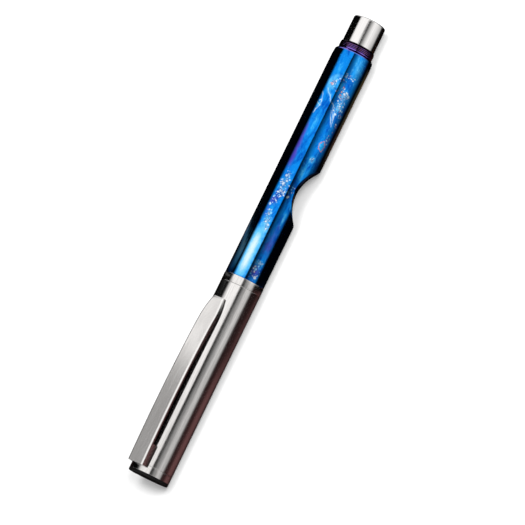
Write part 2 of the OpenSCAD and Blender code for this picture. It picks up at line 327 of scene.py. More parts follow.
def barrel_material():
    """Mirror-bright blue metal with flames, pale clouds, flecks and thin bright bolts. A pale plateau among
    the clouds is a painted highlight, and the thread's grooves and rear crests carry painted shade.
    """
    deep, azure, bright = (0.001, 0.09, 0.52), (0.004, 0.24, 0.80), (0.02, 0.44, 0.97)
    pale, white, violet = (0.17, 0.62, 1.0), (0.80, 0.93, 1.0), (0.085, 0.030, 0.42)
    ember, pink, shadow = (0.88, 0.36, 0.20), (0.76, 0.50, 0.70), (0.02, 0.03, 0.26)
    # The groove's near-black is painted shade in the thread's recesses
    groove, crest = (0.008, 0.002, 0.010), (0.30, 0.12, 0.25)
    crest_blue, chamfer = (0.11, 0.09, 0.38), (0.30, 0.17, 0.70)
    g = Graph("flamed_blue_metal")
    paint = g.channels(g.attribute("paint").outputs["Color"])
    flecks = g.channels(g.attribute("flecks").outputs["Color"])
    marks = g.channels(g.attribute("marks").outputs["Color"])
    flame = g.noise(g.along(0.35), 0.45, 5.0, 0.6, 0.8)
    ripple = g.noise(g.along(0.5), 1.6, 4.0, 0.65)
    # The ragged edges are calmer inside the painted highlight plateau, held in the marks' blue channel
    ragged = g.math("MULTIPLY", g.math("SUBTRACT", ripple, 0.5), g.rise(marks[2], 0.2, 0.9, 1.3, 0.45))

    colour = g.mix(g.rise(flame, 0.36, 0.60), deep, azure)
    colour = g.mix(g.rise(ripple, 0.50, 0.75, 0.0, 0.5), colour, bright)
    scratches = g.noise(g.turned(25, 0.5, 5.0), 2.0, 3.0, 0.7)
    colour = g.mix(g.rise(scratches, 0.58, 0.76, 0.0, 0.22), colour, pale)
    colour = g.mix(g.rise(g.math("ADD", paint[1], ragged), 0.05, 1.1, 0.0, 0.85), colour, violet)
    colour = g.mix(g.rise(paint[0], 0.04, 0.30, 0.0, 0.5), colour, bright)
    # Pale and white follow the clouds and the painted highlight plateau
    colour = g.mix(g.rise(g.math("ADD", paint[0], ragged), 0.14, 0.85, 0.0, 0.85), colour, pale)
    colour = g.mix(g.rise(g.math("ADD", paint[0], ragged), 0.75, 1.5, 0.0, 0.8), colour, white)

    # A cell: a bright blob in a thin ragged outline
    wobble = g.math("MULTIPLY", g.math("SUBTRACT", g.noise(g.place, 1.8, 3.0), 0.5), 1.6)
    cell = g.math("ADD", g.attribute("cell").outputs["Fac"], wobble)
    colour = g.mix(g.rise(cell, 1.0, 0.6, 0.0, 0.85), colour, bright)
    outline = g.math("ABSOLUTE", g.math("SUBTRACT", cell, 1.0))
    colour = g.mix(g.rise(outline, 0.22, 0.05, 0.0, 0.6), colour, ember)

    # Flecks: cells whose random number is below the local density show a blot
    shift = g.node("TexNoise", {"Vector": g.place, "Scale": 2.4, "Detail": 2.0}).outputs[1]
    jumbled = g.node("VectorMath", {0: shift, 1: (0.45, 0.45, 0.45), 2: g.place},
                     operation="MULTIPLY_ADD").outputs[0]
    sizes = ((0.85, 0.44, 0.0, 0.9), (1.35, 0.44, 7.0, 0.9), (2.3, 0.42, 3.0, 0.6))
    for scale, size, offset, strength in sizes:
        moved = g.node("VectorMath", {0: jumbled, 1: (offset, offset, offset)}, operation="ADD").outputs[0]
        cells = g.node("TexVoronoi", {"Vector": moved, "Scale": scale})
        chance = g.channels(cells.outputs["Color"])
        blot = g.rise(cells.outputs["Distance"], size, size * 0.5, 0.0, strength)
        shown = g.math("MULTIPLY", blot, g.rise(g.math("SUBTRACT", flecks[0], chance[0]), 0.0, 0.15))
        warm = g.math("MULTIPLY", g.rise(flecks[1], 0.1, 0.5), g.rise(chance[1], 0.45, 0.5))
        tint = g.mix(g.rise(chance[1], 0.1, 0.6), pale, white)
        halo = g.math("MULTIPLY", g.rise(cells.outputs["Distance"], size * 1.5, size, 0.0, 0.35),
                      g.rise(flecks[0], 0.2, 0.9))
        colour = g.mix(halo, colour, shadow)
        colour = g.mix(shown, colour, g.mix(warm, tint, g.mix(chance[2], ember, pink)))

    # Thin bright bolts with a faint glow, from distances in millimetres
    faded = g.rise(g.noise(g.place, 0.9, 3.0), 0.38, 0.62, 0.35, 1.0)
    colour = g.mix(g.math("MULTIPLY", g.rise(marks[0], 0.45, 0.05, 0.0, 0.35), faded), colour, pale)
    colour = g.mix(g.math("MULTIPLY", g.rise(marks[0], 0.17, 0.03, 0.0, 0.75), faded), colour, white)
    colour = g.mix(g.math("MULTIPLY", g.rise(marks[1], 0.75, 0.1, 0.0, 0.45), faded), colour, pale)

    # The thread and the chamfer before it took a violet colour; the thread's grooves are painted near black
    # as shade.
    hatch = g.noise(g.turned(15, 0.6, 4.0), 1.6, 3.0)
    ridge = g.mix(g.rise(hatch, 0.42, 0.58), crest_blue, crest)
    thread = g.mix(g.rise(flecks[2], 0.45, 1.0), groove, ridge)
    colour = g.mix(paint[2], colour, g.mix(g.attribute("chamfer").outputs["Fac"], thread, chamfer))

    g.bump(g.math("ADD", ripple, g.math("MULTIPLY", flecks[0], 0.3)), 0.003)
    return g.surface(Base_Color=colour, Metallic=1.0, Roughness=g.rise(ripple, 0.3, 0.7, 0.05, 0.09))


def glass_material():
    g = Graph("fire_polished_glass")
    swirl = g.noise(g.along(0.4), 0.7, 2.0)
    g.bump(g.noise(g.place, 1.5, 2.0), 0.003)
    return g.surface(Base_Color=g.mix(swirl, (0.62, 0.86, 1.0), (0.80, 0.95, 1.0)),
                     Roughness=g.rise(swirl, 0.3, 0.7, 0.01, 0.04), Transmission_Weight=1.0, IOR=1.5)


STEEL = brushed("brushed_steel", (0.84, 0.825, 0.815), (0.66, 0.645, 0.635), 0.12, 4.0, 0.0016)
POLISHED = brushed("polished_steel", (0.86, 0.85, 0.84), (0.79, 0.775, 0.77), 0.10, 3.0, 0.0006)
BLACK = speckled("satin_black", (0.003, 0.003, 0.0035), (0.006, 0.0055, 0.0055), 0.42, 0.6, 0.002,
                 Specular_IOR_Level=0.12)
LINER = speckled("moulded_liner", (0.020, 0.020, 0.022), (0.030, 0.030, 0.032), 0.5, 0.5, 0.006)
SEAL = speckled("seal_rubber", (0.015, 0.015, 0.016), (0.028, 0.028, 0.029), 0.6, 1.2, 0.006)
MILKY = speckled("milky_rubber", (0.62, 0.62, 0.58), (0.72, 0.72, 0.68), 0.45, 0.8, 0.004)
BRASS = brushed("turned_brass", (0.80, 0.58, 0.27), (0.66, 0.45, 0.19), 0.22, 5.0, 0.002, 1.5)
BLUE = barrel_material()
GLASS = glass_material()


# ---------------------------------------------------------------- barrel

# The finger scoop is ground out by a wheel whose rim is hollowed across. SCOOP_TURN is in degrees. Only
# points within SKIN of the barrel's surface and SCOOP_MARGIN of the scoop's ends are moved.
SCOOP_X = MOUTH_X + 27.3
SCOOP_L = 16.6
SCOOP_DEPTH = 3.2
SCOOP_TURN = 130.0
SCOOP_RIM_POWER = 4
SCOOP_EDGE = 0.08
SCOOP_MARGIN = 0.6
SKIN = 0.3
SPIGOT_BORE_R = 3.45
SPIGOT_BORE_END_X = MOUTH_X + 9.0
STUD_BORE_R = 2.55
STUD_ROOM = 1
CORE_R = THREAD_R - RIDGE_H - 0.01
SHOULDER_TAPER = 0.12
SHOULDER_TAPER_L = 2.0
SHOULDER_CHAMFER = 0.65


def cut_scoop(px, py, pz):
    """Barrel surface with the scoop: each point's height towards the scoop is held under the wheel."""
    turn = math.radians(SCOOP_TURN)
    floor_r = BARREL_R - SCOOP_DEPTH
    wheel_r = ((SCOOP_L / 2) ** 2 + SCOOP_DEPTH ** 2) / (2 * SCOOP_DEPTH)
    axis_d = floor_r + wheel_r
    side = -py * math.cos(turn) - pz * math.sin(turn)
    height = -py * math.sin(turn) + pz * math.cos(turn)
    hollow = np.clip(1 - np.abs(side / BARREL_R) ** SCOOP_RIM_POWER, 0, 1) ** (1 / SCOOP_RIM_POWER)
    rim = axis_d - floor_r * hollow
    reach = np.clip(rim ** 2 - (px - SCOOP_X) ** 2, 0, None)
    wheel = axis_d - np.sqrt(reach)
    meeting = np.clip(SCOOP_EDGE - np.abs(height - wheel), 0, None) / SCOOP_EDGE
    held = np.minimum(height, wheel) - meeting ** 2 * SCOOP_EDGE / 4
    facing = (height > 0) & (np.abs(px - SCOOP_X) < SCOOP_L / 2 + SCOOP_MARGIN)
    held = np.where((np.hypot(py, pz) > BARREL_R - SKIN) & facing, held, height)
    py = -side * math.cos(turn) - held * math.sin(turn)
    pz = -side * math.sin(turn) + held * math.cos(turn)
    return px, py, pz


def shape_barrel(px, py, pz):
    px, py, pz = cut_scoop(px, py, pz)
    on_thread = (px > SHOULDER_X + NEAR) & (np.hypot(py, pz) > CORE_R - NEAR)
    ridge = helix(px, py, pz, SHOULDER_X + 0.1, BARREL_BACK_X, RIDGE_H)
    return push_out(px, py, pz, np.where(on_thread, ridge, 0))


def barrel_outline():
    taper_from = SHOULDER_X - SHOULDER_CHAMFER - SHOULDER_TAPER_L
    front = rounded([(SPIGOT_BORE_END_X, 0), (SPIGOT_BORE_END_X, SPIGOT_BORE_R), (MOUTH_X, SPIGOT_BORE_R),
                     (MOUTH_X, BARREL_R, 0.12), (MOUTH_X + 0.3, BARREL_R)])
    back = rounded([(taper_from, BARREL_R), (SHOULDER_X - SHOULDER_CHAMFER, BARREL_R - SHOULDER_TAPER, 0.25),
                    (SHOULDER_X, CORE_R + 0.12, 0.1), (SHOULDER_X, CORE_R, 0.02), (SHOULDER_X + 0.1, CORE_R)])
    end = rounded([(BARREL_BACK_X - 0.1, CORE_R), (BARREL_BACK_X, CORE_R), (BARREL_BACK_X, STUD_BORE_R),
                   (STUD_X - STUD_ROOM, STUD_BORE_R), (STUD_X - STUD_ROOM, 0)])
    return (front + straight(MOUTH_X + 0.4, taper_from - 0.1, BARREL_R) + back
            + straight(SHOULDER_X + 0.13, BARREL_BACK_X - 0.13, CORE_R, THREAD_STEP) + end)


# Places of the pattern: x, angle, half length in mm, half width in degrees, strength
CLOUDS = [(57.2, 60, 3.2, 15, 0.22), (53.9, 73, 3.2, 17, 0.34), (52.9, 20, 2.0, 8, 0.25),
          (48.5, 21, 1.9, 12, 0.78), (48.4, 44, 1.4, 8, 0.25), (46.5, 66, 1.3, 12, 0.80),
          (43.2, 66, 1.5, 10, 0.80), (41.8, 9, 1.4, 6, 0.40), (36.3, 24, 4.1, 6, 0.30),
          (27.2, 63, 0.9, 8, 0.75), (23.0, 55, 2.7, 6, 0.45), (18.2, 23, 2.7, 13, 0.45),
          (9.7, 20, 1.4, 6, 0.50), (7.0, 24, 1.5, 8, 0.80), (4.9, 31, 1.0, 6, 0.70),
          (9.0, 64, 1.8, 4, 0.55), (-4.4, 57, 0.7, 10, 0.80), (-2.0, -13, 5.0, 14, 0.95)]
# A pale plateau where the softbox's reflection lies brightest on the barrel: a painted highlight added to the
# clouds
PAINTED_HIGHLIGHT_PLATEAU = (-2.6, 20, 7.4, 15, 1.40)
VIOLETS = [(34.6, 7, 2.4, 6, 0.7), (30.1, 7, 3.1, 8, 1.0), (25.4, 9, 2.7, 8, 0.9),
           (13.1, 15, 1.4, 10, 0.6), (10.7, 9, 2.0, 5, 0.5), (1.0, 58, 3.2, 14, 0.7),
           (6.4, 60, 2.4, 8, 0.4), (-7.0, 57, 1.7, 11, 0.9), (8.0, 13, 2.0, 6, 0.4)]
FLECKS = [(48.7, 22, 1.2, 8, 1.0), (50.1, 44, 0.5, 10, 1.0), (48.4, 54, 1.2, 4, 0.9),
          (47.4, 37, 0.4, 8, 1.0), (51.9, 58, 0.5, 14, 0.9), (46.5, 66, 1.3, 14, 1.4),
          (43.2, 66, 1.7, 12, 1.4), (41.8, 82, 1.0, 6, 0.9), (38.0, 84, 2.0, 4, 0.8),
          (34.2, 80, 1.4, 6, 0.8), (31.7, 71, 1.5, 10, 0.3), (20.6, 20, 1.2, 8, 1.0),
          (18.1, 22, 1.4, 13, 1.0), (15.5, 24, 1.0, 12, 1.1), (13.1, 17, 1.4, 11, 0.6),
          (17.2, 46, 2.4, 8, 0.35), (9.4, 19, 1.4, 7, 0.8), (7.0, 23, 1.2, 8, 1.1),
          (5.1, 32, 0.9, 6, 1.1), (-4.3, 57, 0.6, 11, 0.9), (-6.7, 57, 1.9, 13, 1.3),
          (-7.2, 58, 0.3, 4, 0.6), (27.2, 63, 0.9, 7, 0.9)]
EMBERS = [(48.7, 18, 1.2, 5, 0.7), (48.7, 46, 1.7, 12, 1.0), (46.1, 60, 1.0, 12, 0.5),
          (42.8, 75, 1.7, 6, 0.7), (34.6, 79, 2.0, 8, 1.0), (30.5, 68, 0.7, 10, 0.8),
          (-7.2, 58, 0.3, 4, 1.0), (39.7, 87, 2.7, 5, 0.6)]
# Lines of (x, angle) points: the edge of a swirl, and the bolts
SWIRL = [(51.1, 35), (50.8, 23), (50.1, 13), (49.1, 8), (47.8, 9), (46.8, 14), (46.0, 20), (45.3, 28)]
BOLTS = [[(46.8, 14), (46.0, 20), (45.3, 28), (43.7, 37), (43.0, 50), (41.8, 53), (40.2, 62),
          (38.7, 68), (37.6, 70)],
         [(45.4, 4), (44.7, 9), (43.4, 12), (41.8, 16), (41.0, 12), (40.3, 7), (39.1, 6)],
         [(41.6, 16), (41.8, 9), (42.3, 2)], [(43.4, 12), (42.8, 7)],
         [(42.0, 54), (41.5, 60), (39.7, 66)], [(41.5, 50), (39.7, 57), (38.0, 66)]]
# Half the sidestep of a bolt's corners, in mm along the pen and degrees round it
BOLT_JAG = np.array([0.10, 1.0])
BOLT_JAG_SEED = 5
# The outlined cell: x, angle, half length, half width
CELL = (31.6, 71, 1.3, 9)
# Angles that the photo doesn't show
HIDDEN_SIDE = (112, 338)
HIDDEN_SIDE_SEED = 11
# Stands for "nowhere near" in a distance
FAR = 9.0


def turn_between(angle, other):
    """Difference of two angles, from -180 to 180 degrees."""
    return (angle - other + 180) % 360 - 180


def density(x, angle, spots):
    """Sum of soft spots."""
    total = np.zeros_like(x)
    for x0, angle0, half_l, half_w, strength in spots:
        total += strength * np.exp(-((x - x0) / half_l) ** 2 - (turn_between(angle, angle0) / half_w) ** 2)
    return total


def distance_to(x, angle, line):
    """Distance in millimetres over the surface to a line of (x, angle) points."""
    per_degree = math.radians(BARREL_R)
    nearest = np.full_like(x, FAR)
    for (x0, angle0), (x1, angle1) in zip(line, line[1:]):
        ax, ay = x - x0, turn_between(angle, angle0) * per_degree
        bx, by = x1 - x0, (angle1 - angle0) * per_degree
        share = np.clip((ax * bx + ay * by) / (bx * bx + by * by), 0, 1)
        nearest = np.minimum(nearest, np.hypot(ax - share * bx, ay - share * by))
    return nearest


def jagged(line, draw):
    """A line of (x, angle) points with each part broken into short crooked steps."""
    out = [line[0]]
    for (x0, angle0), (x1, angle1) in zip(line, line[1:]):
        for share in (0.33, 0.67, 1.0):
            off_x, off_angle = draw.uniform(-BOLT_JAG, BOLT_JAG) if share < 1 else (0, 0)
            out.append((x0 + (x1 - x0) * share + off_x, angle0 + (angle1 - angle0) * share + off_angle))
    return out


def hidden_side_pattern():
    """More spots and bolts of the same kinds for the rest of the way round."""
    draw = np.random.default_rng(HIDDEN_SIDE_SEED)

    def spots(count, lengths, widths, strength):
        return [(draw.uniform(MOUTH_X, SHOULDER_X), draw.uniform(*HIDDEN_SIDE), draw.uniform(*lengths),
                 draw.uniform(*widths), strength) for _ in range(count)]

    bolts = []
    for _ in range(5):
        x, angle = draw.uniform(0, 50), draw.uniform(*HIDDEN_SIDE)
        line = [(x, angle)]
        for _ in range(5):
            x, angle = x - draw.uniform(1, 2.5), angle + draw.uniform(-14, 14)
            line.append((x, angle))
        bolts.append(line)
    clouds = spots(14, (2, 5), (8, 20), 0.8)
    violets = spots(12, (2, 6), (8, 18), 0.9)
    flecks = spots(18, (1, 3), (6, 14), 0.9)
    embers = spots(8, (1, 2.5), (6, 14), 0.8)
    return clouds, violets, flecks, embers, bolts


def paint_barrel(obj):
    """Writes the pattern's places to the barrel's vertices, together with a painted highlight plateau and the
    painted shade of the thread's rear crests. The material adds their fine detail.
    """
    x, angle, co = coordinates(obj)
    clouds, violets, flecks, embers, bolts = hidden_side_pattern()
    draw = np.random.default_rng(BOLT_JAG_SEED)
    x0, angle0, half_l, half_w, strength = PAINTED_HIGHLIGHT_PLATEAU
    # The painted highlight plateau
    highlight_plateau = np.exp(-((x - x0) / half_l) ** 4 - (turn_between(angle, angle0) / half_w) ** 2)
    chamfer_x = SHOULDER_X - SHOULDER_CHAMFER
    threaded = smooth(x, chamfer_x - 0.25, chamfer_x + 0.15)
    crest = np.clip((np.hypot(co[:, Y], co[:, Z] - AXIS_Z) - CORE_R) / RIDGE_H, 0, 1)
    # Painted shade: the thread's crests go darker over the last millimetre to the barrel's back end
    crest *= 0.4 + 0.6 * smooth(x, BARREL_BACK_X, BARREL_BACK_X - 1.0)
    # The paint's red channel holds the clouds and the painted highlight plateau
    write_colours(obj, "paint", density(x, angle, CLOUDS + clouds) + strength * highlight_plateau,
                  density(x, angle, VIOLETS + violets), threaded)
    # The flecks' blue channel carries the thread's crests, with their painted shade
    write_colours(obj, "flecks", density(x, angle, FLECKS + flecks),
                  density(x, angle, EMBERS + embers), crest)
    bolt = np.min([distance_to(x, angle, jagged(line, draw)) for line in BOLTS + bolts], axis=0)
    write_colours(obj, "marks", bolt, distance_to(x, angle, SWIRL), highlight_plateau)
    write_attribute(obj, "chamfer", smooth(x, SHOULDER_X + 0.35, SHOULDER_X + 0.1))
    across = np.hypot((x - CELL[0]) / CELL[2], turn_between(angle, CELL[1]) / CELL[3])
    write_attribute(obj, "cell", np.minimum(across, FAR))


barrel = piece("barrel_rod", *turned(barrel_outline(), reshape=shape_barrel),
               "barrel", "holder", "barrel_blue", BLUE)
paint_barrel(barrel)


# ---------------------------------------------------------------- tail

STUD_R = 2.5
TAIL_EDGE = 0.4
tail_outline = rounded([(STUD_X, 0), (STUD_X, STUD_R), (BARREL_BACK_X, STUD_R), (BARREL_BACK_X, TAIL_R, 0.1),
                        (TAIL_END_X, TAIL_R, TAIL_EDGE), (TAIL_END_X, 0)], steps=6)
piece("tail_stub", *turned(tail_outline, 192), "tail_plug", "holder", "steel_polished", POLISHED)


# ---------------------------------------------------------------- cap

TUBE_BORE_R = 5.15
TUBE_BORE_FROM_X = FINIAL_SEAM_X + 10
TUBE_BORE_TO_X = SLEEVE_END_X - 5
COUNTERBORE_R = 5.4
COUNTERBORE_END_X = SLEEVE_END_X - 0.1
SLEEVE_R = 5.37
BAND_BORE_R = 5.08
SEAM = 0.04
SEAM_EDGE = 0.11
NUT_THREAD_AT = 1.6
NUT_THREAD_L = 3.4
NUT_GROOVE = 0.16

tube_outline = rounded([(TUBE_BORE_FROM_X, TUBE_BORE_R), (FINIAL_SEAM_X, TUBE_BORE_R),
                        (FINIAL_SEAM_X, CAP_R, SEAM_EDGE), (BAND_SEAM_X, CAP_R, SEAM_EDGE),
                        (BAND_SEAM_X, COUNTERBORE_R), (COUNTERBORE_END_X, COUNTERBORE_R),
                        (COUNTERBORE_END_X, TUBE_BORE_R), (TUBE_BORE_TO_X, TUBE_BORE_R)])
piece("cap_tube_shell", *turned(tube_outline, closed=True), "cap_tube", "cap", "steel_brushed", STEEL)


def cut_nut_thread(px, py, pz):
    in_bore = np.hypot(py, pz) < BAND_BORE_R + NEAR
    thread_x = MOUTH_X - NUT_THREAD_AT
    groove = helix(px, py, pz, thread_x - NUT_THREAD_L, thread_x + 0.2, NUT_GROOVE)
    return push_out(px, py, pz, np.where(in_bore, groove, 0))


band_outline = (rounded([(MOUTH_X - 0.4, BAND_BORE_R), (MOUTH_X, BAND_BORE_R, 0.1), (MOUTH_X, CAP_R, 0.12),
                         (BAND_SEAM_X + SEAM, CAP_R, SEAM_EDGE), (BAND_SEAM_X + SEAM, SLEEVE_R),
                         (SLEEVE_END_X, SLEEVE_R, 0.1), (SLEEVE_END_X, BAND_BORE_R),
                         (SLEEVE_END_X + 0.4, BAND_BORE_R)])
                + straight(SLEEVE_END_X + 0.5, MOUTH_X - 0.5, BAND_BORE_R, THREAD_STEP))
piece("cap_mouth_band", *turned(band_outline, closed=True, reshape=cut_nut_thread),
      "cap_mouth_ring", "cap_mouth", "steel_brushed", STEEL)

DISC_STEM_R = 2.5
DISC_STEM_L = 1.4
DISC_EDGE = 0.75
STEM_HOLE_R = DISC_STEM_R + 0.01
STEM_HOLE_X = FINIAL_FROM_X + 1.5
FINIAL_PLUG_R = 5.13
FINIAL_BORE_R = 3.6
FINIAL_END_X = FINIAL_SEAM_X + 2.3
finial_outline = rounded([(STEM_HOLE_X, 0), (STEM_HOLE_X, STEM_HOLE_R), (FINIAL_FROM_X, STEM_HOLE_R),
                          (FINIAL_FROM_X, CAP_R, 0.03), (FINIAL_SEAM_X - SEAM, CAP_R, SEAM_EDGE),
                          (FINIAL_SEAM_X - SEAM, FINIAL_PLUG_R), (FINIAL_END_X, FINIAL_PLUG_R, 0.15),
                          (FINIAL_END_X, FINIAL_BORE_R), (FINIAL_SEAM_X, FINIAL_BORE_R), (FINIAL_SEAM_X, 0)])
piece("finial_flange", *turned(finial_outline, 192), "finial_plug", "cap", "steel_brushed", STEEL)

disc_outline = rounded([(CAP_END_X, 0), (CAP_END_X, CAP_R, DISC_EDGE), (FINIAL_FROM_X, CAP_R, 0.02),
                        (FINIAL_FROM_X, DISC_STEM_R), (FINIAL_FROM_X + DISC_STEM_L, DISC_STEM_R),
                        (FINIAL_FROM_X + DISC_STEM_L, 0)], steps=8)
piece("end_disc_button", *turned(disc_outline, 192), "end_disc", "cap", "disc_black", BLACK)

LINER_BORE_R = LINER_R - 0.75
LINER_FLOOR_X = LINER_END_X + 1
liner_outline = rounded([(LINER_END_X, 0), (LINER_END_X, LINER_R, 0.5), (LINER_OPEN_X, LINER_R, 0.25),
                         (LINER_OPEN_X, LINER_BORE_R, 0.2), (LINER_FLOOR_X, LINER_BORE_R, 0.1),
                         (LINER_FLOOR_X, 0)])
piece("inner_cap_cup", *turned(liner_outline, 128), "inner_cap", "cap_core", "liner_plastic", LINER)


# ---------------------------------------------------------------- clip

# Lengths are counted back from the clip's nose, and heights up from the cap
CLIP_RISE = span("clip", Z)[1] - 2 * CAP_R
CLIP_CROWN_X = CAP_END_X + 22
# The top falls by these shares of the squared distance from its crown
DROP_FRONT = 0.00128
DROP_BACK = 0.0011
BAR_T = 1.0
FOOT_TO_X = CAP_END_X + 8.5
FOOT_GAP = 0.05
NOSE_HALF_W = 1.85
NOSE_BOW_L = 6.0
SLOPE_L = 8.5
SLOPE_DROP = 0.45
SLOPE_POWER = 1.4
TIP_ROUND = 0.12
TIP_ROUND_L = 0.6
BEVEL_W = 0.42
BEVEL_H = 0.26
CLIP_EDGE = 0.06
TIP_H = 0.28
PAD_GAP = 0.09
PAD_BEVEL_L = 0.7
PAD_L = 5.0
WEDGE_L = 17.0
WEDGE_POWER = 1.5
UNDER_POINTS = 7
NOSE_ROWS_L = 6
# Below this depth under the clip's top, its colour is darkened: painted shade on the side walls and underside
PAINTED_SHADE_BELOW = BEVEL_H + 0.03


def clip_top(x):
    """Height of the clip's top above the cap."""
    drop = np.where(x > CLIP_CROWN_X, DROP_FRONT, DROP_BACK)
    nose = (SLOPE_DROP * np.clip(1 - (CLIP_TO_X - x) / SLOPE_L, 0, 1) ** SLOPE_POWER
            + TIP_ROUND * smooth(x, CLIP_TO_X - TIP_ROUND_L, CLIP_TO_X) ** 2)
    return CLIP_RISE - drop * (x - CLIP_CROWN_X) ** 2 - nose


def clip_section(x, on_foot):
    """Points round the clip at x, from its top left edge, as (y, height above the cap)."""
    back = CLIP_TO_X - x
    top = float(clip_top(x))
    bow = min(back / NOSE_BOW_L, 1)
    half = NOSE_HALF_W + (CLIP_HALF_W - NOSE_HALF_W) * math.sin(math.pi / 2 * bow)
    wedge = math.sin(math.pi / 2 * float(np.clip((back - PAD_L) / WEDGE_L, 0, 1))) ** WEDGE_POWER
    pad_bevel = (TIP_H - PAD_GAP) * max(0.0, 1 - back / PAD_BEVEL_L)
    under = PAD_GAP + (top - BAR_T - PAD_GAP) * wedge + pad_bevel
    points = [(-half + BEVEL_W, top), (half - BEVEL_W, top), (half, top - BEVEL_H)]
    for y in np.linspace(half, -half, UNDER_POINTS):
        seat = math.sqrt((CAP_R + FOOT_GAP) ** 2 - y * y) - CAP_R
        points.append((y, seat if on_foot else under))
    return points + [(-half, top - BEVEL_H)]


def clip_mesh():
    foot = [(x, True) for x in np.linspace(CLIP_FROM_X, FOOT_TO_X, 9)]
    bar = [(x, False) for x in np.linspace(FOOT_TO_X + NEAR, CLIP_TO_X - NOSE_ROWS_L, 48)]
    nose = [(x, False) for x in np.linspace(CLIP_TO_X - NOSE_ROWS_L + 0.2, CLIP_TO_X, 40)]
    points = []
    for x, on_foot in foot + bar + nose:
        points += [(x, y, 2 * CAP_R + h) for y, h in clip_section(x, on_foot)]
    ring = UNDER_POINTS + 4
    rows = len(points) // ring
    caps = [tuple(range(ring)), tuple(range((rows - 1) * ring, rows * ring))]
    return points, ring_faces(rows, ring) + caps


def clip_steel():
    """Brushed steel whose side walls and underside are painted dark: painted shade under the clip."""
    material = brushed("clip_steel", (0.85, 0.84, 0.83), (0.78, 0.765, 0.755), 0.18, 3.2, 0.0008, 0.02)
    nodes, links = material.node_tree.nodes, material.node_tree.links
    base = nodes["Principled BSDF"].inputs["Base Color"]
    depth = nodes.new("ShaderNodeAttribute")
    depth.attribute_name = "depth"
    ramp = nodes.new("ShaderNodeMapRange")
    shade = nodes.new("ShaderNodeMix")
    shade.data_type = "RGBA"
    links.new(depth.outputs["Fac"], ramp.inputs["Value"])
    ramp.inputs["From Min"].default_value, ramp.inputs["From Max"].default_value = 0.25, 1.0
    links.new(ramp.outputs[0], shade.inputs[0])
    links.new(base.links[0].from_socket, shade.inputs[6])
    # Painted shade: the dark colour that the clip's walls and underside take
    shade.inputs[7].default_value = (0.05, 0.042, 0.042, 1)
    links.new(shade.outputs[2], base)
    return material


clip = piece("clip_blade", *clip_mesh(), "clip", "pocket_clip", "clip_steel", clip_steel(), sharp=40)
clip_x, _, clip_co = coordinates(clip)
clip_down = clip_top(clip_x) - (clip_co[:, Z] - 2 * CAP_R)
# Vertices below the top's bevel get the painted shade
write_attribute(clip, "depth", clip_down > PAINTED_SHADE_BELOW)
edges = clip.modifiers.new("edges", "BEVEL")
edges.width = CLIP_EDGE * MM
edges.segments = 3
edges.limit_method = "ANGLE"
edges.angle_limit = math.radians(20)
clip.modifiers.move(1, 0)


# ---------------------------------------------------------------- grip and nib

COLLAR_R = CORE_R - 0.4
SPIGOT_R = 3.4
O_RING_SEAT_R = 4.1
O_RING_X = MOUTH_X - 0.95
O_RING_HALF_W = 0.45
O_RING_BACK_X = O_RING_X + O_RING_HALF_W
O_RING_FRONT_X = O_RING_X - O_RING_HALF_W
FRONT_THREAD_AT = 1.6
FRONT_THREAD_L = 2.0
GRIP_FROM = 4.2
WAIST_AT = 20.0
GRIP_BACK_R = 4.4
WAIST_R = 4.05
LIP_R = 4.35
LIP_L = 1
GRIP_L = MOUTH_X - GRIP_END_X
GRIP_STEP = 0.05
RINGS = 8
RING_PITCH = 0.9
RING_W = 0.3
RING_DEPTH = 0.15
NIB_SEAT_R = 3.3
NIB_SEAT_X = GRIP_END_X + 3
SLEEVE_HOLE_R = 2.8
SLEEVE_HOLE_X = MOUTH_X - 11


def grip_radius(at):
    """Radius of the waisted grip at a distance into the cap."""
    if at < WAIST_AT:
        return WAIST_R + (GRIP_BACK_R - WAIST_R) * ((WAIST_AT - at) / (WAIST_AT - GRIP_FROM)) ** 1.6
    return WAIST_R + (LIP_R - WAIST_R) * ((at - WAIST_AT) / (GRIP_L - LIP_L - WAIST_AT)) ** 2


def grip_outline():
    thread_from, thread_to = MOUTH_X - FRONT_THREAD_AT, MOUTH_X - FRONT_THREAD_AT - FRONT_THREAD_L
    back = rounded([(SPIGOT_END_X, 0), (SPIGOT_END_X, SPIGOT_R, 0.2), (MOUTH_X, SPIGOT_R),
                    (MOUTH_X, COLLAR_R), (O_RING_BACK_X, COLLAR_R), (O_RING_BACK_X, O_RING_SEAT_R),
                    (O_RING_FRONT_X, O_RING_SEAT_R), (O_RING_FRONT_X, COLLAR_R),
                    (thread_from + 0.05, COLLAR_R), (thread_from, CORE_R)])
    thread = straight(thread_from - 0.03, thread_to, CORE_R, THREAD_STEP)
    neck = [(MOUTH_X - GRIP_FROM + 0.55, COLLAR_R), (MOUTH_X - GRIP_FROM + 0.1, COLLAR_R)]
    body = []
    first_ring = WAIST_AT - RINGS / 2 * RING_PITCH
    for at in np.arange(GRIP_FROM, GRIP_L - LIP_L, GRIP_STEP):
        past = (at - first_ring) % RING_PITCH
        ringed = first_ring - 0.01 <= at < first_ring + RINGS * RING_PITCH - 0.2 and past < RING_W
        body.append((MOUTH_X - at, grip_radius(at) - (RING_DEPTH if ringed else 0)))
    lip = rounded([(MOUTH_X - GRIP_L + LIP_L, LIP_R), (GRIP_END_X + 0.35, LIP_R - 0.1, 0.2),
                   (GRIP_END_X, LIP_R - 0.5, 0.1), (GRIP_END_X, NIB_SEAT_R), (NIB_SEAT_X, NIB_SEAT_R),
                   (NIB_SEAT_X, SLEEVE_HOLE_R), (SLEEVE_HOLE_X, SLEEVE_HOLE_R), (SLEEVE_HOLE_X, 0)])
    return back + thread + neck + body + lip


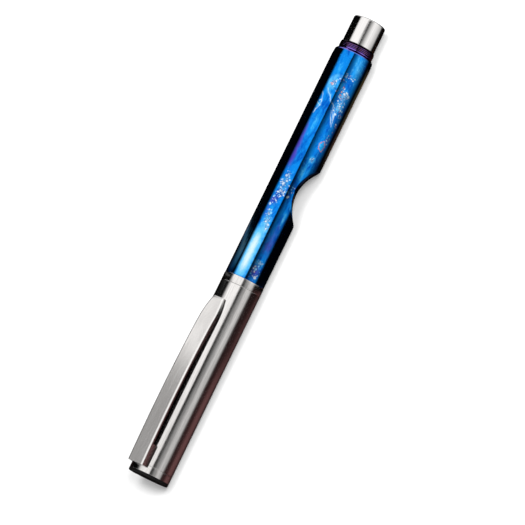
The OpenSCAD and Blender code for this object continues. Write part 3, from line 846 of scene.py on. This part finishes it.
def shape_grip(px, py, pz):
    on_thread = np.hypot(py, pz) > CORE_R - NEAR
    thread_x = MOUTH_X - FRONT_THREAD_AT
    ridge = helix(px, py, pz, thread_x - FRONT_THREAD_L, thread_x, RIDGE_H)
    return push_out(px, py, pz, np.where(on_thread, ridge, 0))


piece("grip", *turned(grip_outline(), 160, reshape=shape_grip),
      "grip_section", "holder", "steel_brushed", STEEL)

FLUTES = 8
FLUTE_TWIST = 250
FLUTE_DEPTH = 0.16
BULB_X = MOUTH_X - 31.1
FLUTES_FROM_X = BULB_X - 1.1
TIP_R = 0.22
SHANK_R = 2.1
SHANK_END_X = BULB_X + 2.3
BULB_SQUEEZE = 0.995
BULB_PAST_WIDEST = 0.35
CONE_POWER = 0.85


def nib_outline():
    shank = rounded([(NIB_BACK_X, 0), (NIB_BACK_X, SHANK_R, 0.3), (SHANK_END_X, SHANK_R)])
    bulb = [(BULB_X + NIB_R * math.cos(a), NIB_R * BULB_SQUEEZE * math.sin(a))
            for a in np.linspace(math.asin((SHANK_R + NEAR) / NIB_R), math.pi / 2 + BULB_PAST_WIDEST, 20)]
    last_x, last_r = bulb[-1]
    tip_x = NIB_TIP_X + TIP_R
    cone = [(x, TIP_R + (last_r - TIP_R) * ((x - tip_x) / (last_x - tip_x)) ** CONE_POWER)
            for x in np.linspace(last_x - 0.1, tip_x, 130)]
    point = [(tip_x - TIP_R * math.sin(a), TIP_R * math.cos(a)) for a in np.linspace(0.1, math.pi / 2, 8)]
    return shank + bulb + cone + point


def cut_flutes(px, py, pz):
    share = np.clip((FLUTES_FROM_X - px) / (FLUTES_FROM_X - NIB_TIP_X), 0, 1)
    angle = np.arctan2(-py, pz) + math.radians(FLUTE_TWIST) * share
    groove = 1 - np.abs(np.sin(angle * FLUTES / 2))
    depth = FLUTE_DEPTH * smooth(share, 0, 0.1) * smooth(share, 1.0, 0.93)
    keep = 1 - depth * groove
    return px, py * keep, pz * keep


piece("glass_point", *turned(nib_outline(), 192, reshape=cut_flutes),
      "glass_nib", "holder", "nib_glass", GLASS)

# The small turned CAD nodes keep their shapes and get node materials
for node, material in (("section_o_ring", SEAL), ("nib_ferrule", BRASS), ("nib_sleeve", MILKY),
                       ("nib_cushion", SEAL), ("tip_cushion", MILKY), ("clip_screw", POLISHED)):
    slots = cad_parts[node].data.materials
    for index in range(len(slots)):
        slots[index] = material


# ---------------------------------------------------------------- studio

FLOOR_HALF = 2000
FLOOR_GLOW = 0.22


def seen_by(obj, **rays):
    """Sets which kinds of ray see an object."""
    for kind, value in rays.items():
        setattr(obj, "visible_" + kind, value)


def make_floor():
    g = Graph("pale_floor")
    grain = g.noise(g.place, 0.02, 2.0)
    g.surface(Base_Color=g.mix(grain, (0.80, 0.80, 0.80), (0.82, 0.82, 0.82)), Roughness=0.9,
              Specular_IOR_Level=0.0, Emission_Color=(1.0, 1.0, 1.0), Emission_Strength=FLOOR_GLOW)
    half = FLOOR_HALF
    floor = mesh_object("floor", [(-half, -half, 0), (half, -half, 0), (half, half, 0), (-half, half, 0)],
                        [(0, 1, 2, 3)])
    floor.data.materials.append(g.material)
    seen_by(floor, glossy=False)


# The surround that the metal mirrors: a ring-shaped tent about the pen's axis, seen by reflections only.
# Elevations are in degrees, from the -Y horizon over the top. Places are x on the tent, in millimetres.
TENT_R = 400
TENT_HALF_L = 900
TENT_FINE_FROM, TENT_FINE_TO = -60, 180
TENT_STEP, TENT_FINE_STEP = 12.0, 3.0
# Where the tent is mirrored by the barrel, and where by the tail; the barrel's tapered end mirrors places
# past the tail's. Such a pair of places is the start and the end of a smooth change.
BARREL_FROM = (30, 38)
TAIL_FROM, TAIL_TO = (135.5, 138.5), (156, 152)
# The softbox overhead: its brightness, how it dims towards the closed end, and its outer and inner edges
# as mirrored in the cap, the barrel and the tail
SOFTBOX = 1.15
SOFTBOX_DIM = (0.9, -30, 12)
SOFTBOX_LOW = ((51.5, 56.5), (51.5, 56.5), (56.5, 72.5))
SOFTBOX_HIGH = ((131, 103), (128, 110), (129.5, 122))
WARM_DARK = (1.0, 0.45, 0.45)
WARM_WHITE = (1.0, 0.992, 0.985)
FRINGE = (1.0, 0.28, 0.06)
# Brightness of the card below the softbox, by elevation, where it is mirrored in the cap, the barrel's
# rear and the tail; the cap's card is a little darker towards the closed end
CAP_CARD = ((-19, 0), (-13, 0.20), (-7, 0.62), (0, 0.69), (11, 0.77), (16, 0.66), (22, 0.46),
            (33, 0.30), (39, 0.18), (45, 0.05), (52, 0))
CAP_CARD_DIM = (0.86, -10, 15)
REAR_FROM = (74, 100)
REAR_CARD = ((-58, 0), (-50, 0.08), (-40, 0.24), (-26, 0.52), (-7, 0.98), (11, 1.18), (28, 0.66),
             (39, 0.32), (46, 0.16), (52, 0))
TAIL_CARD = ((-58, 0), (-52, 0.02), (-47, 0.15), (-42, 0.60), (-26, 0.80), (-8, 0.98), (16, 1.02),
             (28, 0.72), (46, 0.14), (52, 0))
# Red glow below the horizon, mirrored near the clip's nose and near the closed end
NOSE_RED = ((-112, 0), (-98, 0.05), (-80, 0.09), (-67, 0.05), (-57, 0.035), (-48, 0.02), (-20, 0.02), (-8, 0))
END_RED = ((-112, 0.01), (-98, 0.05), (-80, 0.11), (-67, 0.15), (-57, 0.15), (-48, 0.125), (-40, 0.065),
           (-30, 0.035), (-20, 0.035), (-8, 0))
NOSE_FROM, RED_TO = (-14, 12), (36.5, 33)
# A dim lens-shaped patch past the top, mirrored in the barrel's far side: its lower edge by place
LENS_EDGE = ((40, 142), (43, 130), (48, 134), (56, 181))
LENS_FROM, LENS_TO = (36, 40), (59, 55)
LENS_W = 62
LENS_SOFT = 6
LENS_GLOW = 0.17
# A low orange fringe, mirrored in the barrel's near edge
FRINGE_FROM, FRINGE_TO = (88, 100), (136, 130)
FRINGE_LOW, FRINGE_HIGH = (-118, -104), (-66, -78)
FRINGE_GLOW = 0.2
# The tent's ends, mirrored in faces that look along the pen
CAP_SIDE_END, TAIL_SIDE_END = (-150, -230), (240, 320)
END_GLOW = 0.9
DARK_GLOW = 0.002


def by_table(value, table):
    return np.interp(value, *zip(*table))


def blend(a, b, share):
    return a + (b - a) * share


def dimmed(x, share, start, end):
    """share before start, and a smooth rise to 1 at end."""
    return blend(share, 1, smooth(x, start, end))


def tent_glow(x, elevation):
    """Red, green and blue brightness of the tent."""
    on_barrel = smooth(x, *BARREL_FROM)
    on_tail = smooth(x, *TAIL_FROM) * smooth(x, *TAIL_TO)

    def edge_of(table, side):
        cap, barrel_rod, tail = (edges[side] for edges in table)
        return cap + (barrel_rod - cap) * on_barrel + (tail - barrel_rod) * on_tail

    softbox = SOFTBOX * dimmed(x, *SOFTBOX_DIM)
    for table in (SOFTBOX_LOW, SOFTBOX_HIGH):
        softbox = softbox * smooth(elevation, edge_of(table, 0), edge_of(table, 1))
    card = by_table(elevation, CAP_CARD) * dimmed(x, *CAP_CARD_DIM)
    card = blend(card, by_table(elevation, REAR_CARD), smooth(x, *REAR_FROM))
    card = blend(card, by_table(elevation, TAIL_CARD), on_tail)
    white = softbox + card
    red = blend(by_table(elevation, END_RED), by_table(elevation, NOSE_RED), smooth(x, *NOSE_FROM))
    red = red * smooth(x, *RED_TO)
    past_top, edge = (elevation + 360) % 360, by_table(x, LENS_EDGE)
    full = edge + LENS_SOFT
    lens = smooth(past_top, edge, full) * smooth(past_top, edge + LENS_W, full)
    lens = LENS_GLOW * lens * smooth(x, *LENS_FROM) * smooth(x, *LENS_TO)
    fringe = smooth(elevation, *FRINGE_LOW) * smooth(elevation, *FRINGE_HIGH)
    fringe = FRINGE_GLOW * fringe * smooth(x, *FRINGE_FROM) * smooth(x, *FRINGE_TO)
    ends = np.maximum(smooth(x, *CAP_SIDE_END), smooth(x, *TAIL_SIDE_END)) * smooth(elevation, -25, 0)
    grey = lens + END_GLOW * ends * (1 - np.clip(white, 0, 1)) + DARK_GLOW
    return [white * w + red * d + fringe * f + grey for w, d, f in zip(WARM_WHITE, WARM_DARK, FRINGE)]


def tent_material():
    """The glow of the tent's vertices, which is left out after a diffuse bounce so that the pen throws no
    coloured light on the floor."""
    material = bpy.data.materials.new("tent_glow")
    material.use_nodes = True
    nodes, links = material.node_tree.nodes, material.node_tree.links
    nodes.clear()
    glow = nodes.new("ShaderNodeAttribute")
    glow.attribute_name = "glow"
    emission = nodes.new("ShaderNodeEmission")
    output = nodes.new("ShaderNodeOutputMaterial")
    links.new(glow.outputs["Color"], emission.inputs["Color"])
    path, direct = nodes.new("ShaderNodeLightPath"), nodes.new("ShaderNodeMath")
    direct.operation = "SUBTRACT"
    direct.use_clamp = True
    direct.inputs[0].default_value = 1.0
    links.new(path.outputs["Diffuse Depth"], direct.inputs[1])
    links.new(direct.outputs[0], emission.inputs["Strength"])
    links.new(emission.outputs[0], output.inputs["Surface"])
    material.cycles.emission_sampling = "NONE"
    return material


def make_tent():
    along = np.concatenate([np.arange(-TENT_HALF_L, TENT_FINE_FROM, TENT_STEP),
                            np.arange(TENT_FINE_FROM, TENT_FINE_TO, TENT_FINE_STEP),
                            np.arange(TENT_FINE_TO, TENT_HALF_L + 1, TENT_STEP)])
    round_it = np.radians(np.arange(-180, 180, 1.0))
    grid_x, grid_e = np.meshgrid(along, round_it, indexing="ij")
    grid = [grid_x, -TENT_R * np.cos(grid_e), AXIS_Z + TENT_R * np.sin(grid_e)]
    faces = ring_faces(len(along), len(round_it))
    tent = mesh_object("tent", np.stack(grid, axis=-1).reshape(-1, 3), faces)
    x, _, co = coordinates(tent)
    elevation = np.degrees(np.arctan2(co[:, Z] - AXIS_Z, -co[:, Y]))
    write_colours(tent, "glow", *tent_glow(x, elevation))
    tent.data.materials.append(tent_material())
    seen_by(tent, camera=False, diffuse=False, shadow=False, transmission=False, volume_scatter=False)


def area_light(name, place, target, size, energy, colour=(1, 1, 1), mirrored=False):
    """A rectangular light at a place in millimetres, turned to a target."""
    data = bpy.data.lights.new(name, "AREA")
    data.shape = "RECTANGLE"
    data.size, data.size_y = size[0] * MM, size[1] * MM
    data.energy = energy
    data.color = colour
    light = bpy.data.objects.new(name, data)
    bpy.context.scene.collection.objects.link(light)
    light.location = Vector(place) * MM
    light.rotation_mode = "QUATERNION"
    light.rotation_quaternion = (Vector(target) - Vector(place)).to_track_quat("-Z", "Y")
    seen_by(light, camera=False, glossy=mirrored)
    return light


WORLD_LIGHT = 0.30
# Two lights that reach the clip alone; its flat top mirrors them
CLIP_LIGHTS = (("clip_nose", 110, 0.066), ("clip_foot", -60, 0.0235))
CLIP_LIGHT_ELEVATION = 132
CLIP_LIGHT_R = 360
CLIP_LIGHT_SIZE = (190, 110)
CLIP_LIGHT_COLOUR = (1.0, 0.985, 0.975)
CLIP_LIGHT_AIM = 0.3


def make_lights():
    area_light("front", (210, -655, 850), (0, 0, 0), (420, 300), 8.2)
    area_light("top", (150, -180, 940), (0, 0, 0), (400, 400), 5.2)
    only_clip = bpy.data.collections.new("clip_light_receivers")
    only_clip.objects.link(clip)
    turn = math.radians(CLIP_LIGHT_ELEVATION)
    for name, x, energy in CLIP_LIGHTS:
        place = (x, -CLIP_LIGHT_R * math.cos(turn), AXIS_Z + CLIP_LIGHT_R * math.sin(turn))
        light = area_light(name, place, (x * CLIP_LIGHT_AIM, 0, AXIS_Z), CLIP_LIGHT_SIZE, energy,
                           CLIP_LIGHT_COLOUR, mirrored=True)
        light.light_linking.receiver_collection = only_clip


def make_world():
    """Soft light for the floor, black for what the metal mirrors and white behind the camera's view."""
    world = bpy.data.worlds.new("studio")
    bpy.context.scene.world = world
    world.use_nodes = True
    nodes, links = world.node_tree.nodes, world.node_tree.links
    nodes.clear()
    path = nodes.new("ShaderNodeLightPath")
    output = nodes.new("ShaderNodeOutputWorld")

    def background(tone, strength):
        made = nodes.new("ShaderNodeBackground")
        made.inputs["Color"].default_value = (tone, tone, tone, 1)
        made.inputs["Strength"].default_value = strength
        return made.outputs[0]

    def choose(ray, usual, special):
        made = nodes.new("ShaderNodeMixShader")
        for index, source in enumerate((path.outputs[ray], usual, special)):
            links.new(source, made.inputs[index])
        return made.outputs[0]

    mirrored = choose("Is Glossy Ray", background(1.0, WORLD_LIGHT), background(0.0, 1.0))
    links.new(choose("Is Camera Ray", mirrored, background(1.0, 1.0)), output.inputs["Surface"])


# The camera stands over the -Y side and looks down on the pen. Angles are in degrees, lengths in mm.
CAMERA_ELEVATION = 50.0
CAMERA_SIDE = 7.0
CAMERA_ROLL = 64.02
CAMERA_DISTANCE = 862.3
CAMERA_LENS = 219
SENSOR_W = 36
FRAMING = (0.69, -3.8)


def make_camera():
    elevation, side, roll = map(math.radians, (CAMERA_ELEVATION, CAMERA_SIDE, CAMERA_ROLL))
    back = Vector((-math.sin(side), -math.cos(side) * math.cos(elevation),
                   math.cos(side) * math.sin(elevation)))
    pen = (Vector((1, 0, 0)) - back * back.x).normalized()
    across = back.cross(pen)
    right = math.cos(roll) * pen - math.sin(roll) * across
    up = math.sin(roll) * pen + math.cos(roll) * across
    camera = bpy.data.objects.new("camera", bpy.data.cameras.new("camera"))
    camera.data.lens = CAMERA_LENS
    camera.data.sensor_width = SENSOR_W
    bpy.context.scene.collection.objects.link(camera)
    place = Vector((0, 0, AXIS_Z)) + back * CAMERA_DISTANCE + right * FRAMING[0] + up * FRAMING[1]
    camera.matrix_world = Matrix.Translation(place * MM) @ Matrix((right, up, back)).transposed().to_4x4()
    bpy.context.scene.camera = camera


make_floor()
make_tent()
make_lights()
make_world()
make_camera()
bpy.context.scene.view_settings.view_transform = "Standard"
